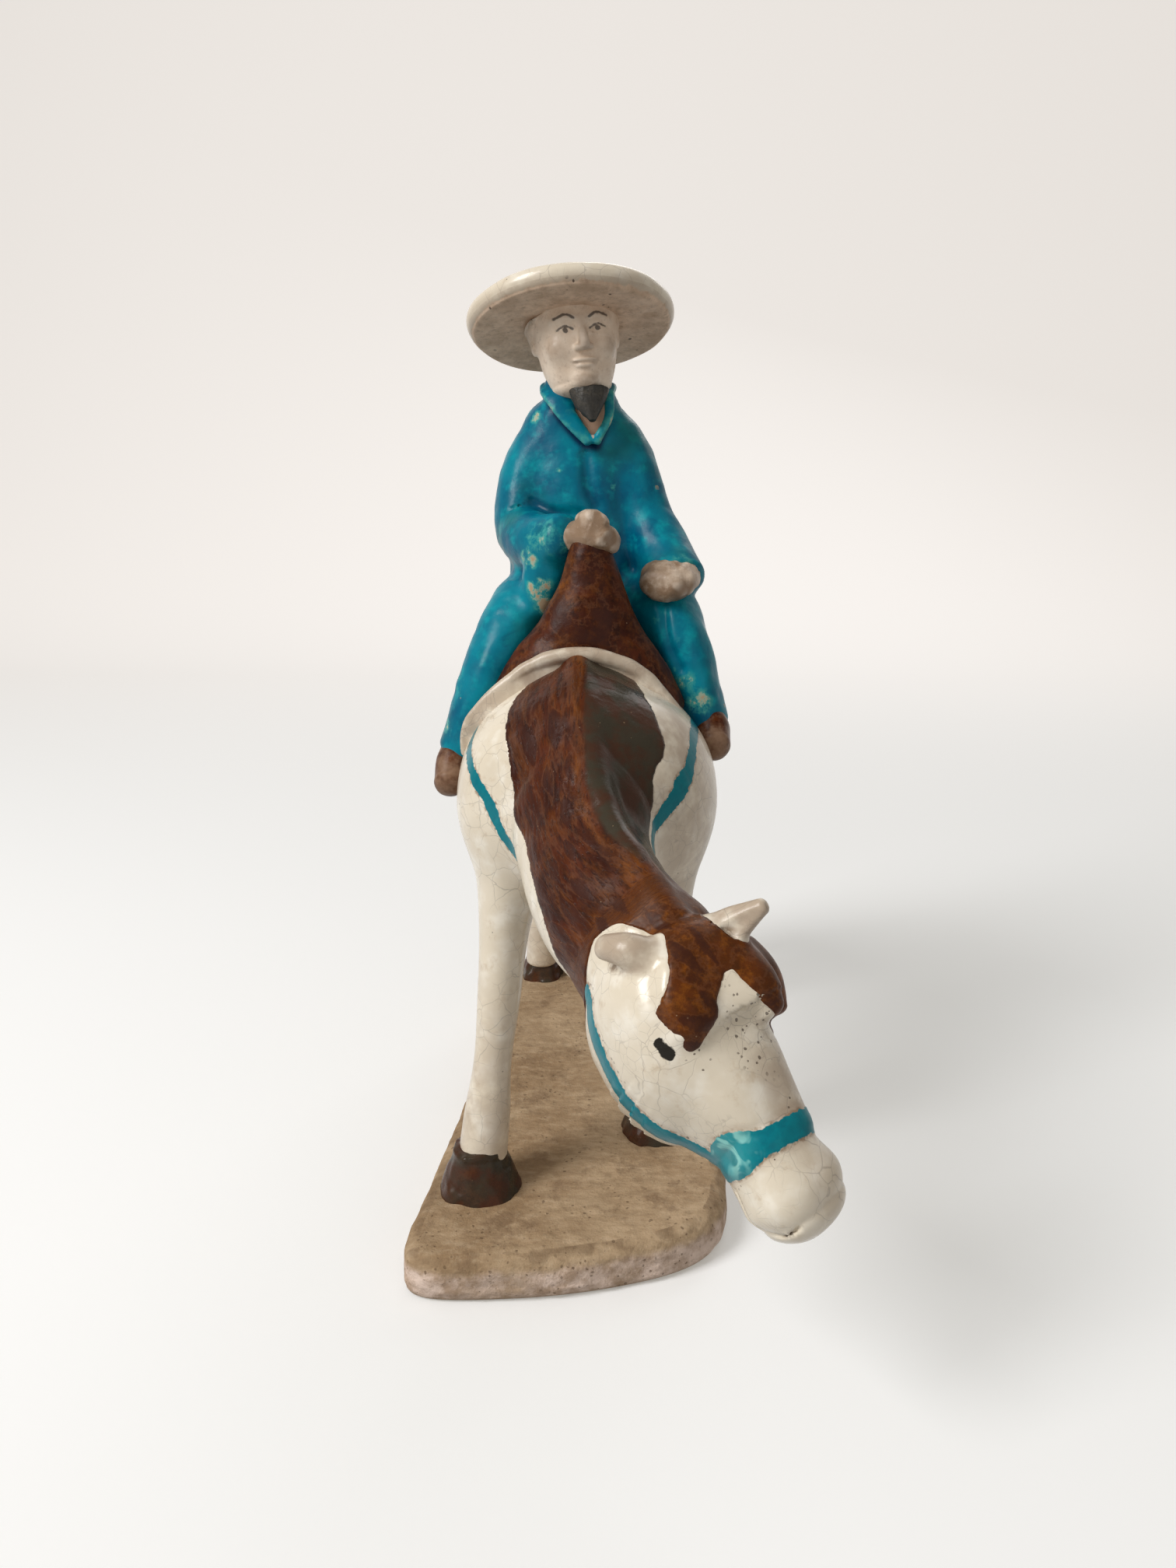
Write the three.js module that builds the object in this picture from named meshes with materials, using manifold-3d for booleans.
// A glazed ceramic figure: a bearded rider in a wide round hat on a grazing horse, fired as one piece with
// the slab that it stands on. Millimetres, +Z up, the horse faces -Y, and +X is the horse's left. The origin
// is the centre of the slab's underside.
import * as THREE from "three";
import { LoftGeometry } from "three/addons/geometries/LoftGeometry.js";
import { mergeVertices } from "three/addons/utils/BufferGeometryUtils.js";
import Module from "manifold-3d";

// Driving dimensions
const SLAB = { thickness: 15 };
const SLAB_PLAN = [
  [-44, -122], [-14, -121], [14, -115], [38, -105], [50, -92], [54, -70], [52, -20], [47, 50],
  [43, 104], [31, 122], [0, 127], [-30, 123], [-42, 104], [-43.5, 50], [-46, -20], [-49.5, -80], [-51.5, -110],
];
const SLAB_EDGE = { foot: 1.5, shoulder: 5 }; // rounding of the lower and the upper edge
const HAT = { radius: 36, rim: 8.4, crown: 12, hollow: 1.6 };
const HAT_PLACE = { x: -3.9, y: -4, z: 304.6, back: 16.6, roll: -5 }; // degrees tipped back and to its right
const HOOF = { height: 17.5, sink: 2 };
const PAD = { front: -53, rear: 44, hem: 160 }; // the saddle cloth's ends, and how low it hangs
const GLAZE = 0xe9e1d3;

// The path of each limb: rows of x, y, z, half-width and half-depth, evenly spaced along it.
const BARREL = [
  [0, 101, 151, 14, 17],
  [0, 86, 152, 30, 31],
  [0, 61, 152, 39, 37],
  [0.5, 30, 150, 40.5, 36.5],
  [1.5, -2, 149, 42, 37.5],
  [3, -32, 149, 43.2, 38.5],
  [5, -58, 149, 43, 38.5],
  [6, -77, 148, 35, 33],
  [5, -90, 147, 19, 20],
];
const NECK = [
  [3.5, -38, 158, 25, 33],
  [4, -60, 156, 25, 33],
  [5.2, -82, 145.5, 22, 28],
  [8.2, -101, 135.5, 20, 24],
  [15.4, -118, 128.5, 19.6, 21.8],
  [26, -133, 124, 18, 20],
];
const FORELEG_RIGHT = [
  [-15, -56, 158, 12, 18],
  [-18.5, -59, 140, 17, 22],
  [-21, -63, 120, 11.4, 15],
  [-23, -67, 101, 8.3, 10],
  [-24.5, -71, 80, 7.3, 8.4],
  [-26.5, -75, 59, 6.4, 7],
  [-28.3, -78, 41, 7.8, 8.2],
  [-29, -79, 24, 8.6, 9],
];
const FORELEG_LEFT = [
  [22, -56, 158, 12, 18],
  [26.5, -58, 140, 17.5, 22],
  [29.5, -57, 120, 12.2, 15],
  [30.5, -53, 101, 8.8, 10],
  [30.5, -50, 80, 7.3, 8.4],
  [30, -45, 59, 6.4, 7],
  [30, -41, 41, 7.6, 8],
  [30, -40, 24, 8.6, 9],
];
const HIND_LEG_RIGHT = [
  [-13, 62, 168, 12, 18],
  [-19.5, 65, 150, 18.5, 28],
  [-22.5, 67, 128, 15.5, 23],
  [-24.5, 75, 104, 10, 14],
  [-25.5, 91, 80, 7.2, 9.8],
  [-26, 95, 60, 6, 7.2],
  [-26, 97, 42, 6.8, 7.4],
  [-26, 99, 24, 7.8, 8.2],
];
const HIND_LEG_LEFT = [
  [13, 60, 168, 12, 18],
  [19.5, 62, 150, 18.5, 28],
  [22.5, 62, 128, 15.5, 23],
  [25, 66, 104, 10, 14],
  [26, 79, 80, 7.2, 9.8],
  [26, 82, 60, 6, 7.2],
  [26, 83, 42, 6.8, 7.4],
  [26, 84, 24, 7.8, 8.2],
];
// x and y of each hoof's middle, and the half-width and half-depth of its sole.
const HOOVES = [
  [-31, -81, 14, 14.5],
  [30, -41, 13.5, 14.5],
  [-26, 101, 10.8, 12],
  [26, 85, 10.8, 12],
];
const TAIL = [
  [0, 96, 172, 7, 7],
  [-1, 108, 158, 7.5, 7],
  [-3, 114, 134, 9, 7.5],
  [-6, 115, 104, 10, 7.5],
  [-10, 114, 72, 9.5, 7],
  [-13, 113, 42, 8.5, 6.5],
  [-15, 113, 13, 7.5, 6],
];
const CREST = [
  [1.5, -54, 189.5, 4.4, 5],
  [4, -73, 182, 4.6, 5],
  [8, -95, 166.5, 4.4, 5],
  [14, -113, 154, 4.2, 5],
  [22, -130, 146.5, 4.4, 4.6],
  [31, -146, 137.5, 4.6, 4],
];
const SADDLE_SEAT = [
  [0, 38, 162, 36, 34.5],
  [0, 20, 160, 37, 33.5],
  [0, -8, 159.5, 37, 33.5],
  [1, -28, 161, 37, 34.5],
  [2, -44, 160, 34, 34.5],
];
const CLOTH_RIM = [
  [-30, -51, 170, 3, 3],
  [-25.5, -52.5, 181, 3.2, 3],
  [-14.5, -53.5, 191, 3.4, 3],
  [0.5, -54, 195.6, 3.4, 3],
  [14, -53.5, 194, 3.4, 3],
  [25, -52.5, 186.4, 3.2, 3],
  [32.5, -51.5, 177, 3, 3],
  [37.5, -50, 167, 3, 3],
];
const POMMEL = [
  [4, -36, 176, 33, 15],
  [4, -37, 190, 27, 13],
  [4.5, -38, 203, 17.5, 11],
  [5, -38, 215, 11.5, 9],
  [5, -38, 225, 8, 7.5],
  [5, -38, 233, 6, 6],
];
const CANTLE = [
  [0, 34, 176, 36, 10],
  [0, 37, 188, 31, 8.5],
  [0, 40, 198, 24, 7],
  [0, 42, 205, 16, 5],
];
const TORSO = [
  [0, 3, 184, 28, 25],
  [0, 3, 200, 27, 22.5],
  [-0.5, 2, 216, 26.5, 20],
  [-0.5, 1, 232, 25.5, 18],
  [-0.5, 0, 248, 23.5, 16.5],
  [-1, 0, 261, 22.5, 14.5],
  [-1.5, -1, 271, 19.5, 12.5],
  [-1.2, -3, 278.5, 13.5, 11],
  [-2, -5, 286, 10.5, 9.5],
];
const SKIRT = [
  [0, 2, 216, 22, 19],
  [0, 12, 201, 31, 28],
  [0, 20, 188, 39, 33],
  [0, 24, 176, 44.5, 35],
];
const ARM_RIGHT = [
  [-8, 0, 270, 7, 8],
  [-16.5, 0, 259, 10, 11],
  [-20.2, -1, 248, 10.5, 11.5],
  [-21, -5, 234, 10.2, 12],
  [-15, -19, 230, 9.4, 9.8],
  [-5, -31, 231.5, 8, 8.2],
];
const ARM_LEFT = [
  [8, 0, 270, 7, 8],
  [14.5, 0, 260, 10, 11],
  [19.5, -2, 248, 9.8, 11],
  [23.8, -5, 236, 9.8, 11],
  [29.5, -12, 225, 10.4, 11],
  [33.6, -20, 216, 11, 11.4],
];
const THIGH_RIGHT = [
  [-12, 4, 202, 15, 17],
  [-19.5, -13, 204, 13.5, 15],
  [-28, -25, 190, 11.3, 12],
  [-35.5, -29, 173, 9.6, 10],
  [-42, -30, 158, 8, 8.5],
];
const THIGH_LEFT = [
  [14, 4, 202, 17, 17],
  [28, -13, 204.5, 13.5, 14.5],
  [35.5, -23, 195.5, 10.2, 11.5],
  [41, -27, 181, 8.6, 9.5],
  [45.5, -28, 168, 8, 8],
];
const BOOT_RIGHT = [
  [-42, -27, 159, 6.5, 7.5],
  [-44, -32, 152, 6.6, 9],
  [-45, -39, 147, 5.6, 6],
];
const BOOT_LEFT = [
  [45.5, -25, 171, 6.5, 7.5],
  [47, -30, 165, 6.6, 9],
  [48, -37, 161, 5.6, 6],
];
const HAND_RIGHT = [
  [1, -36, 231, 6.5, 6.6],
  [5.5, -41, 233, 6.6, 6.4],
  [9, -43, 231, 5.2, 5.4],
];
const KNUCKLES = [
  [9.5, -39, 229.5, 5, 5.6],
  [12, -40.5, 229, 4, 4.6],
];
const THUMB = [
  [2.5, -40, 237, 3, 3],
  [6, -42.5, 238, 3.2, 2.8],
  [9.5, -43.5, 236, 2.4, 2.4],
];
const LAP = [
  [-12, -6, 228, 9, 9],
  [-13, -11, 215, 10, 10],
  [-13, -13, 203, 10, 10],
];
const CUFF = [
  [-8, -25, 231, 9, 8],
  [-11.5, -25, 219, 8.2, 7],
  [-14.5, -24, 207, 6, 6],
];
const HAND_LEFT = [
  [34, -17, 219, 9.4, 6.8],
  [31.5, -25, 217.5, 10.4, 7.2],
  [29.5, -31, 215.5, 8.6, 5.6],
];
const COLLAR_RIGHT = [
  [-9, 7, 280.5, 2, 4],
  [-13, -4, 282.5, 2, 4.6],
  [-8.6, -14.5, 278.6, 2.1, 4.6],
  [-2, -18.4, 272, 2, 4],
  [4.8, -19.6, 263.5, 1.8, 3],
];
const COLLAR_LEFT = [
  [7.5, 8, 280.5, 2, 4],
  [11.4, -4, 282.5, 2, 4.4],
  [10.4, -14.5, 278, 2, 4.2],
  [8.2, -18.6, 271, 1.9, 3.4],
  [5.6, -19.6, 263.5, 1.8, 2.6],
];
const BEARD = [
  [3.2, -16.6, 280.2, 5.6, 4.6],
  [3.6, -17.8, 276, 4.2, 3.8],
  [4.6, -19, 271.4, 1.8, 2.2],
];
// The rider's head in its own frame: across, forward and up from its middle.
const HEAD_PLACE = { x: -2, y: -7, z: 298.5, turn: 12, roll: -6 };
const SKULL = [
  [0, 3.5, -16.5, 10.4, 9.5],
  [0, 2.6, -10.5, 12.6, 12.8],
  [0, 1.2, -3, 14, 14.6],
  [0, 0, 5, 14.8, 15.2],
  [0, -0.5, 13, 14.4, 14.2],
];
const NOSE = [
  [0, 13.4, 2.4, 1.5, 1.8],
  [0, 15.4, -2.6, 2, 2.3],
  [0, 16, -5.2, 2.8, 2],
];
const LIPS = [
  [-3.4, 12.8, -9.2, 0.8, 1],
  [0, 14.4, -9.2, 1.5, 1.7],
  [3.4, 12.8, -9.2, 0.8, 1],
];
const EAR_LOBE = [
  [14.2, -1.5, 3, 1.5, 3],
  [13.8, -1, -5, 1.4, 2.2],
];
// The horse's head: the way its face points, and the rows along it.
const MUZZLE_AXIS = [0.479, -0.525, -0.704];
const FACE_OUT = [0.343, -0.627, 0.7];
const POLL = [31, -140, 121];
const HORSE_HEAD = [
  [25.2, -133.5, 120.6, 17.5, 21],
  [29.6, -139.4, 114.5, 22, 26.5],
  [33.6, -145.3, 109, 23, 28],
  [38.5, -152.5, 100.4, 21, 25.5],
  [46.5, -159.1, 94.5, 15.6, 19.6],
  [53.5, -164.8, 88, 12, 15],
  [56.9, -169.7, 83.1, 11.2, 12.5],
  [61.6, -173, 77.3, 12.8, 12.5],
  [64.2, -174.4, 73.6, 11.2, 10.3],
];
const BROW = [
  [15, 13, 6, 4, 4],
  [18, 12, 13, 4, 4.4],
  [17, 10, 22, 3, 3.4],
];
const LIP_LOWER = [
  [0, -10.5, 50, 6.5, 4],
  [0, -11, 58, 7.6, 4.4],
  [0, -9, 64, 6, 3.6],
];
const EAR_RIGHT = [
  [27, -158, 131, 4.6, 5],
  [20.3, -158, 133.6, 4.4, 4.6],
  [14.6, -153.5, 132.6, 3.2, 3.6],
];
const EAR_LEFT = [
  [42, -149, 133.5, 4.6, 5.4],
  [48.5, -151, 139.5, 2.8, 3.6],
  [53.2, -153, 143.6, 1.4, 1.6],
];
const FORELOCKS = [
  [
    [32, -154, 134.5, 6, 4],
    [34.4, -161, 130.5, 7, 4],
    [34.6, -166.5, 124.5, 6.6, 4],
    [35.4, -171, 117.6, 3.4, 3],
  ],
  [
    [38, -152, 134.4, 6, 4],
    [47.4, -156, 129.6, 5.4, 4],
    [53.4, -159, 124.6, 5, 4],
    [56.2, -160, 120.4, 3.4, 3],
  ],
];

const X = new THREE.Vector3(1, 0, 0);
const wasm = await Module();
wasm.setup();

// A smooth curve through evenly spaced rows of numbers, read at share t of the way along.
function through(rows, t) {
  const last = rows.length - 1;
  const i = Math.min(Math.floor(t * last), last - 1);
  const s = t * last - i;
  const [p, q, r, u] = [-1, 0, 1, 2].map((k) => rows[THREE.MathUtils.clamp(i + k, 0, last)]);
  return q.map(
    (_, c) =>
      q[c] +
      0.5 * s * (r[c] - p[c] + s * (2 * p[c] - 5 * q[c] + 4 * r[c] - u[c] + s * (3 * q[c] - p[c] - 3 * r[c] + u[c]))),
  );
}

// The ring of points round a path at one place: a superellipse that can be narrower on its outer side,
// with ripples for folds and hair.
function ring(centre, across, out, halfWidth, halfDepth, { around, square, taper, ripples, ripple }) {
  return Array.from({ length: around }, (_, j) => {
    const angle = (2 * Math.PI * j) / around;
    const [c, s] = [Math.cos(angle), Math.sin(angle)].map((v) => Math.sign(v) * Math.abs(v) ** (2 / square));
    const swell = 1 + ripple * Math.cos(ripples * angle);
    return centre
      .clone()
      .addScaledVector(across, halfWidth * c * (1 - taper * s) * swell)
      .addScaledVector(out, halfDepth * s * swell);
  });
}

// A closed limb along a path of rows, with a dome on each end.
function limb(rows, options = {}) {
  const { along = 6, side = X, dome = 0.7, ...shape } = options;
  const form = { around: 12, square: 2, taper: 0, ripples: 0, ripple: 0, ...shape };
  const step = 1e-3;
  const place = (t) => new THREE.Vector3(...through(rows, t));
  const frame = (t) => {
    const tangent = place(Math.min(t + step, 1)).sub(place(Math.max(t - step, 0))).normalize();
    const across = side.clone().addScaledVector(tangent, -side.dot(tangent)).normalize();
    return { tangent, across, out: new THREE.Vector3().crossVectors(tangent, across) };
  };
  const section = (t, lift = 0) => {
    const { tangent, across, out } = frame(t);
    const [, , , halfWidth, halfDepth] = through(rows, t);
    const reach = dome * Math.min(halfWidth, halfDepth) * Math.sign(t - 0.5);
    const centre = place(t).addScaledVector(tangent, reach * Math.sin(lift));
    const shrink = Math.cos(lift);
    return ring(centre, across, out, halfWidth * shrink, halfDepth * shrink, form);
  };
  const lifts = [72, 38].map(THREE.MathUtils.degToRad);
  return solid(
    new LoftGeometry(
      [
        ...lifts.map((lift) => section(0, lift)),
        ...Array.from({ length: along + 1 }, (_, i) => section(i / along)),
        ...lifts.reverse().map((lift) => section(1, lift)),
      ],
      { capStart: true, capEnd: true },
    ),
  );
}

// A closed three.js geometry as a solid that can be joined and cut.
function solid(geometry) {
  const bare = new THREE.BufferGeometry().setAttribute("position", geometry.getAttribute("position"));
  bare.setIndex(geometry.index);
  const merged = mergeVertices(bare, 1e-4);
  return new wasm.Manifold(
    new wasm.Mesh({
      numProp: 3,
      vertProperties: merged.attributes.position.array,
      triVerts: new Uint32Array(merged.index.array),
    }),
  );
}

const join = (solids) => solids.reduce((whole, piece) => whole.add(piece));

// Rows given in a frame of three directions and an origin, as rows in the figure's frame.
function inFrame(rows, origin, [first, second, third]) {
  return rows.map(([a, b, c, ...sizes]) => [
    ...origin.clone().addScaledVector(first, a).addScaledVector(second, b).addScaledVector(third, c),
    ...sizes,
  ]);
}

const mirrored = (rows) => rows.map(([x, ...rest]) => [-x, ...rest]);

// The slab's outline, inset by a distance: a closed curve through its corners and sides.
function slabOutline(inset) {
  const curve = new THREE.CatmullRomCurve3(SLAB_PLAN.map(([x, y]) => new THREE.Vector3(x, y, 0)), true);
  const count = 36;
  return Array.from({ length: count }, (_, i) => {
    const inward = new THREE.Vector3(0, 0, 1).cross(curve.getTangentAt(i / count));
    return curve.getPointAt(i / count).addScaledVector(inward, inset);
  });
}

// The slab: its outline carried up from the underside, in at the foot and rounded in to the top.
function slab() {
  const { thickness } = SLAB;
  const { foot, shoulder } = SLAB_EDGE;
  const steps = [0, 35, 70].map(THREE.MathUtils.degToRad);
  const levels = [
    [foot, 0],
    [0, foot],
    ...steps.map((a) => [shoulder * (1 - Math.cos(a)), thickness - shoulder * (1 - Math.sin(a))]),
  ];
  const rings = levels.map(([inset, z]) => slabOutline(inset).map((p) => new THREE.Vector3(p.x, p.y, z)));
  return solid(new LoftGeometry(rings, { capStart: true, capEnd: true }));
}

// A hoof: a flared bell with an oval sole, standing in the slab.
function hoof([x, y, halfWidth, halfDepth]) {
  const bottom = SLAB.thickness - HOOF.sink;
  const flare = [
    [1, 0],
    [1, HOOF.sink + 0.8],
    [0.98, 0.35 * HOOF.height],
    [0.84, 0.64 * HOOF.height],
    [0.66, 0.9 * HOOF.height],
    [0.58, HOOF.height],
  ];
  const rings = flare.map(([share, z]) =>
    Array.from({ length: 10 }, (_, j) => {
      const angle = (2 * Math.PI * j) / 10;
      const back = (1 - share) * halfDepth * 0.35;
      return new THREE.Vector3(
        x + share * halfWidth * Math.cos(angle),
        y + back + share * halfDepth * Math.sin(angle),
        bottom + z,
      );
    }),
  );
  return solid(new LoftGeometry(rings, { capStart: true, capEnd: true }));
}

// The horse's head, ears, brows and forelock.
function horseHead() {
  const along = new THREE.Vector3(...MUZZLE_AXIS).normalize();
  const out = new THREE.Vector3(...FACE_OUT).normalize();
  const across = new THREE.Vector3().crossVectors(out, along).normalize();
  const placed = (rows) => inFrame(rows, new THREE.Vector3(...POLL), [across, out, along]);
  const side = across;
  return join([
    limb(HORSE_HEAD, { around: 16, along: 10, side, square: 2.5, taper: -0.04 }),
    limb(placed(LIP_LOWER), { around: 10, along: 4, side }),
    ...[BROW, mirrored(BROW)].map((rows) => limb(placed(rows), { around: 8, along: 3, side })),
    ...[EAR_RIGHT, EAR_LEFT].map((rows) => limb(rows, { around: 8, along: 4, side: out })),
    ...FORELOCKS.map((lock) => limb(lock, { around: 8, along: 5, side })),
  ]);
}

// The horse's body, neck, legs, hooves, tail and mane.
function horse() {
  const leg = { around: 10, along: 10, dome: 0.3 };
  return join([
    limb(BARREL, { around: 20, along: 8, dome: 0.5 }),
    limb(NECK, { around: 14, along: 8, taper: 0.16 }),
    ...[FORELEG_RIGHT, FORELEG_LEFT, HIND_LEG_RIGHT, HIND_LEG_LEFT].map((rows) => limb(rows, leg)),
    ...HOOVES.map(hoof),
    limb(TAIL, { around: 12, along: 7, dome: 0.3, ripples: 4, ripple: 0.06 }),
    limb(CREST, { around: 6, along: 7 }),
    horseHead(),
  ]);
}

// The saddle cloth, a shell over the barrel cut level at its hem, and the saddle with its tall pommel.
function saddle() {
  const thickness = 3.6;
  const cloth = [0, 1, 2, 3, 4].map((i) => {
    const y = THREE.MathUtils.lerp(PAD.rear, PAD.front, i / 4);
    return [0, y, 150, 40.5 + thickness, 38 + thickness];
  });
  const reach = 200;
  const below = solid(new THREE.BoxGeometry(reach, reach, reach).translate(0, 0, PAD.hem - reach / 2));
  return join([
    limb(cloth, { around: 24, along: 2, dome: 0.06 }).subtract(below),
    limb(SADDLE_SEAT, { around: 16, along: 4, dome: 0.12 }).subtract(below),
    limb(CLOTH_RIM, { around: 8, along: 12, side: new THREE.Vector3(0, 1, 0) }),
    limb(POMMEL, { around: 12, along: 6, dome: 0.6 }),
    limb(CANTLE, { around: 12, along: 3 }),
  ]);
}

// The rider's head: skull, nose, lips and ears in a frame turned and leant with the hat.
function riderHead() {
  const { x, y, z, turn, roll } = HEAD_PLACE;
  const lean = new THREE.Euler(0, THREE.MathUtils.degToRad(roll), THREE.MathUtils.degToRad(turn), "ZYX");
  const axes = [X, new THREE.Vector3(0, -1, 0), new THREE.Vector3(0, 0, 1)].map((a) => a.clone().applyEuler(lean));
  const placed = (rows) => inFrame(rows, new THREE.Vector3(x, y, z), axes);
  const side = axes[0];
  return join([
    limb(placed(SKULL), { around: 14, along: 7, side, dome: 0.5 }),
    limb(placed(NOSE), { around: 6, along: 2, side, dome: 0.6 }),
    limb(placed(LIPS), { around: 6, along: 2, side: axes[2], dome: 0.5 }),
    limb(placed(EAR_LOBE), { around: 6, along: 2, side }),
    limb(placed(mirrored(EAR_LOBE)), { around: 6, along: 2, side }),
  ]);
}

// The hat: a thick round brim with a shallow hollow beneath and a low crown, turned about its axis.
function hat() {
  const { radius, rim, crown, hollow } = HAT;
  const half = rim / 2;
  const flat = radius - half;
  const edge = [-55, -20, 15, 50].map(THREE.MathUtils.degToRad);
  const profile = [
    [0, hollow - half],
    [flat * 0.6, hollow * 0.7 - half],
    [flat, -half],
    ...edge.map((a) => [flat + half * Math.cos(a), half * Math.sin(a)]),
    [flat * 0.86, half + crown * 0.1],
    [flat * 0.62, half + crown * 0.34],
    [flat * 0.4, half + crown * 0.72],
    [flat * 0.2, half + crown * 0.95],
    [0, half + crown],
  ].map(([r, z]) => new THREE.Vector2(r, z));
  const { x, y, z, back, roll } = HAT_PLACE;
  const turned = new THREE.LatheGeometry(profile, 28).rotateX(Math.PI / 2);
  turned.rotateX(THREE.MathUtils.degToRad(-back)).rotateY(THREE.MathUtils.degToRad(roll)).translate(x, y, z);
  return solid(turned);
}

// The rider: robe, sleeves, legs, boots, hands, collar, beard, head and hat.
function rider() {
  const sleeve = { around: 10, along: 6 };
  return join([
    limb(TORSO, { around: 16, along: 8, dome: 0.2 }),
    limb(SKIRT, { around: 24, along: 3, dome: 0.12, ripples: 6, ripple: 0.03 }),
    limb(ARM_RIGHT, sleeve),
    limb(ARM_LEFT, { ...sleeve, dome: 0.25 }),
    limb(THIGH_RIGHT, sleeve),
    limb(THIGH_LEFT, sleeve),
    ...[BOOT_RIGHT, BOOT_LEFT].map((rows) => limb(rows, { around: 10, along: 3 })),
    limb(HAND_RIGHT, { around: 8, along: 3 }),
    limb(HAND_LEFT, { around: 10, along: 3 }),
    ...[KNUCKLES, THUMB].map((rows) => limb(rows, { around: 8, along: 2 })),
    limb(CUFF, { around: 10, along: 3 }),
    limb(LAP, { around: 10, along: 3 }),
    ...[COLLAR_RIGHT, COLLAR_LEFT].map((rows) =>
      limb(rows, { around: 6, along: 6, side: new THREE.Vector3(0, -1, 0.6).normalize() }),
    ),
    limb(BEARD, { around: 8, along: 3, dome: 0.25 }),
    riderHead(),
    hat(),
  ]);
}

// The finished solid as a mesh.
function mesh(name, body, colour) {
  const { vertProperties, triVerts } = body.getMesh();
  const geometry = new THREE.BufferGeometry();
  geometry.setAttribute("position", new THREE.BufferAttribute(new Float32Array(vertProperties), 3));
  geometry.setIndex(new THREE.BufferAttribute(new Uint32Array(triVerts), 1));
  geometry.computeVertexNormals();
  const glaze = new THREE.MeshStandardMaterial({ color: colour, roughness: 0.25, metalness: 0 });
  const made = new THREE.Mesh(geometry, glaze);
  made.name = name;
  return made;
}

const figure = new THREE.Group();
figure.add(mesh("horse_and_rider", join([slab(), horse(), saddle(), rider()]), GLAZE));

export default figure;
